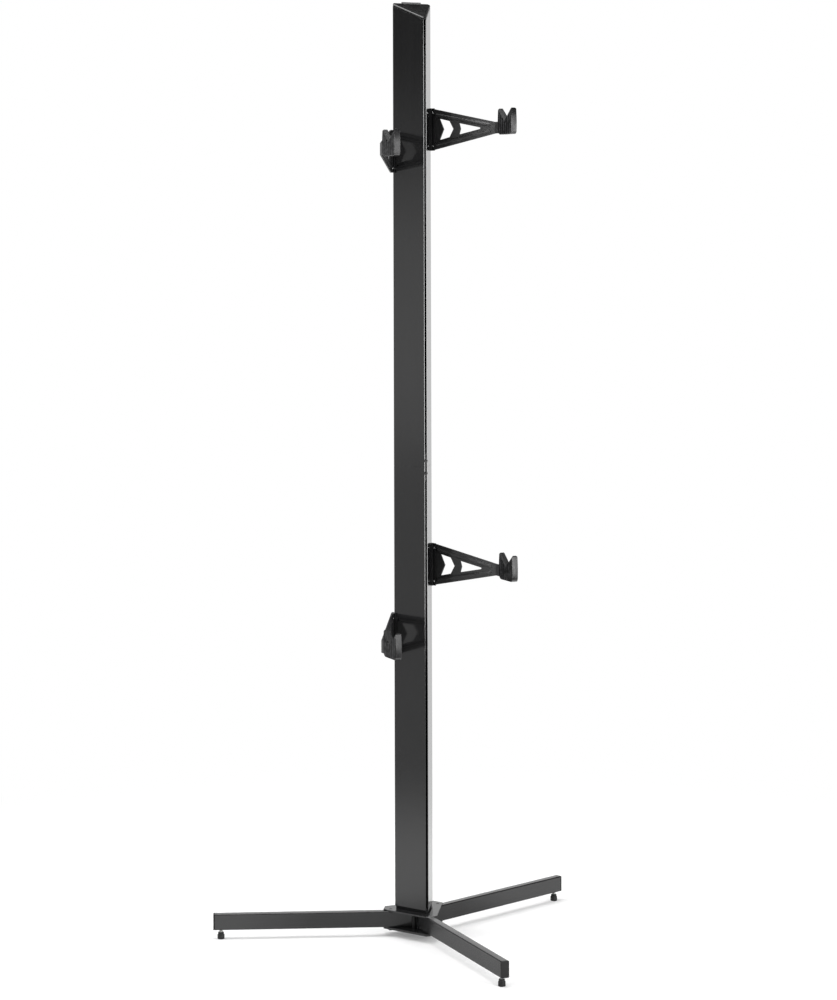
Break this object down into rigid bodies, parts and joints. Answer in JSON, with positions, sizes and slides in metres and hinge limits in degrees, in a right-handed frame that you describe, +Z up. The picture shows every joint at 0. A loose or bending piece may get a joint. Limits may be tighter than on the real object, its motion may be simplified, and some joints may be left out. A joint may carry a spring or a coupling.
{
  "type": "bicycle storage column",
  "caption": "Free-standing storage column on a three-legged levelling base, with slidable plate arms that end in V cradles for bicycle top tubes.",
  "frame": {"origin": "on the floor, at the middle of the footprint's bounding box; the column's axis is at x 0, y 0.1477", "axes": "+Z up along the column; -Y is the open side, where the cradles and the front leg point; +X to the right arms seen from the back, so the upper right arm is at +X"},
  "size_m": [0.876, 0.6298, 2.1163],
  "materials": {
    "anodised": "black anodised, satin with soft mirror reflections",
    "coated": "black powder coat, satin",
    "moulded": "black moulded plastic, fine grain",
    "rubber": "soft black rubber, matte",
    "zinc_steel": "zinc plated",
    "oxide_steel": "black oxide"
  },
  "bodies": {
    "stand": {"column_lower": "anodised", "column_upper": "anodised", "joint_sleeve": "anodised", "joint_bar": "oxide_steel", "joint_screw_upper": "oxide_steel", "joint_screw_lower": "oxide_steel", "top_cap": "moulded", "column_foot": "moulded", "column_foot_screw": "oxide_steel", "base_top_plate": "coated", "base_bottom_plate": "coated", "tie_bolt_left": "oxide_steel", "tie_bolt_right": "oxide_steel", "tie_bolt_rear": "oxide_steel", "front_leg": "coated", "front_leg_end": "moulded", "front_leg_bolt": "oxide_steel", "front_foot_nut": "zinc_steel", "right_leg": "coated", "right_leg_end": "moulded", "right_leg_bolt": "oxide_steel", "right_foot_nut": "zinc_steel", "left_leg": "coated", "left_leg_end": "moulded", "left_leg_bolt": "oxide_steel", "left_foot_nut": "zinc_steel"},
    "upper_right_carriage": {"upper_right_arm": "coated", "upper_right_saddle": "moulded", "upper_right_slot_nut": "zinc_steel", "upper_right_clamp_bolt_top": "oxide_steel", "upper_right_clamp_bolt_bottom": "oxide_steel", "upper_right_cradle": "moulded", "upper_right_cradle_screw": "oxide_steel"},
    "upper_left_carriage": {"upper_left_arm": "coated", "upper_left_saddle": "moulded", "upper_left_slot_nut": "zinc_steel", "upper_left_clamp_bolt_top": "oxide_steel", "upper_left_clamp_bolt_bottom": "oxide_steel", "upper_left_cradle": "moulded", "upper_left_cradle_screw": "oxide_steel"},
    "lower_right_carriage": {"lower_right_arm": "coated", "lower_right_saddle": "moulded", "lower_right_slot_nut": "zinc_steel", "lower_right_clamp_bolt_top": "oxide_steel", "lower_right_clamp_bolt_bottom": "oxide_steel", "lower_right_cradle": "moulded", "lower_right_cradle_screw": "oxide_steel"},
    "lower_left_carriage": {"lower_left_arm": "coated", "lower_left_saddle": "moulded", "lower_left_slot_nut": "zinc_steel", "lower_left_clamp_bolt_top": "oxide_steel", "lower_left_clamp_bolt_bottom": "oxide_steel", "lower_left_cradle": "moulded", "lower_left_cradle_screw": "oxide_steel"},
    "front_foot": {"front_foot_pad": "rubber", "front_foot_stud": "zinc_steel"},
    "right_foot": {"right_foot_pad": "rubber", "right_foot_stud": "zinc_steel"},
    "left_foot": {"left_foot_pad": "rubber", "left_foot_stud": "zinc_steel"}
  },
  "joints": [
    {"name": "upper_right_height", "type": "slide", "parent": "stand", "child": "upper_right_carriage", "axis": [0, 0, 1], "range_m": [-0.5, 0.18]},
    {"name": "upper_left_height", "type": "slide", "parent": "stand", "child": "upper_left_carriage", "axis": [0, 0, 1], "range_m": [-0.45, 0.23]},
    {"name": "lower_right_height", "type": "slide", "parent": "stand", "child": "lower_right_carriage", "axis": [0, 0, 1], "range_m": [-0.5, 0.17]},
    {"name": "lower_left_height", "type": "slide", "parent": "stand", "child": "lower_left_carriage", "axis": [0, 0, 1], "range_m": [-0.35, 0.33]},
    {"name": "front_foot_level", "type": "slide", "parent": "stand", "child": "front_foot", "axis": [0, 0, 1], "range_m": [-0.012, 0.004]},
    {"name": "right_foot_level", "type": "slide", "parent": "stand", "child": "right_foot", "axis": [0, 0, 1], "range_m": [-0.012, 0.004]},
    {"name": "left_foot_level", "type": "slide", "parent": "stand", "child": "left_foot", "axis": [0, 0, 1], "range_m": [-0.012, 0.004]}
  ]
}
